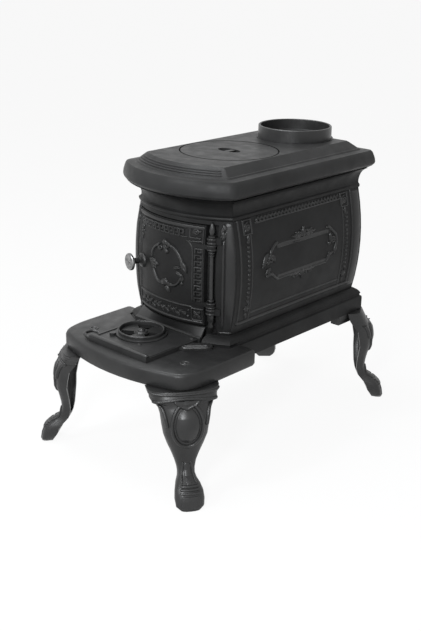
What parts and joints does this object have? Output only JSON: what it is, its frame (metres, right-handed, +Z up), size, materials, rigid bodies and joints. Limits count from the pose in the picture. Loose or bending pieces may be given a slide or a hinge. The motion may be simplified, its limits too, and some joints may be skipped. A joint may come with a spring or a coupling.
{
  "type": "cast-iron box stove",
  "caption": "Cast-iron box stove: bulged firebox with bowed front and cove cornice, hinged feed door, hearth with swing ash lid and spin draft, round cook lid, flue collar and cabriole legs.",
  "frame": {"origin": "on the floor under the middle of the footprint", "axes": "+Z up, the feed door and the hearth look along -Y, +X is the side of the door hinge"},
  "size_m": [0.4734, 0.7554, 0.6556],
  "materials": {
    "stove_black": "satin black stove paint over cast iron",
    "nickel": "worn bright nickel",
    "black_steel": "blackened steel"
  },
  "bodies": {
    "stove": {"base_pan": "stove_black", "hearth_plate": "stove_black", "leg_front_left": "stove_black", "leg_front_right": "stove_black", "leg_rear_left": "stove_black", "leg_rear_right": "stove_black", "front_plate": "stove_black", "side_plate_left": "stove_black", "side_plate_right": "stove_black", "back_plate": "stove_black", "top_plate": "stove_black", "flue_collar": "stove_black", "fire_grate": "stove_black", "hinge_rod": "black_steel", "hinge_pendant": "black_steel", "ash_lid_pivot": "black_steel", "leg_bolt_1": "black_steel", "leg_nut_1": "black_steel", "tie_rod_1": "black_steel", "tie_rod_nut_1": "black_steel", "leg_bolt_2": "black_steel", "leg_nut_2": "black_steel", "tie_rod_2": "black_steel", "tie_rod_nut_2": "black_steel", "leg_bolt_3": "black_steel", "leg_nut_3": "black_steel", "tie_rod_3": "black_steel", "tie_rod_nut_3": "black_steel", "leg_bolt_4": "black_steel", "leg_nut_4": "black_steel", "tie_rod_4": "black_steel", "tie_rod_nut_4": "black_steel", "hearth_bolt_1": "black_steel", "hearth_nut_1": "black_steel", "hearth_bolt_2": "black_steel", "hearth_nut_2": "black_steel"},
    "door": {"feed_door": "stove_black"},
    "latch": {"latch_spindle": "black_steel", "door_knob": "nickel", "latch_cam": "black_steel", "latch_nut": "black_steel"},
    "ash_lid": {"ash_lid": "stove_black", "ash_lid_handle": "stove_black", "ash_lid_rivet_1": "black_steel", "ash_lid_rivet_2": "black_steel", "draft_wheel_screw": "black_steel"},
    "draft": {"draft_wheel": "stove_black"},
    "cook_lid": {"cook_lid": "stove_black"}
  },
  "joints": [
    {"name": "door_hinge", "type": "hinge", "parent": "stove", "child": "door", "pos_m": [0.1, -0.1735, 0.4], "axis": [0, 0, 1], "range_deg": [0, 110]},
    {"name": "latch_turn", "type": "hinge", "parent": "door", "child": "latch", "pos_m": [-0.094, -0.1782, 0.4015], "axis": [0.2588, 0.9659, 0], "range_deg": [0, 90]},
    {"name": "ash_lid_swing", "type": "hinge", "parent": "stove", "child": "ash_lid", "pos_m": [0.112, -0.198, 0.265], "axis": [0, 0, 1], "range_deg": [0, 90]},
    {"name": "draft_spin", "type": "hinge", "parent": "ash_lid", "child": "draft", "pos_m": [-0.027, -0.2465, 0.273], "axis": [0, 0, 1], "range_deg": [0, 60]},
    {"name": "cook_lid_lift", "type": "slide", "parent": "stove", "child": "cook_lid", "axis": [0, 0, 1], "range_m": [0, 0.15]}
  ]
}
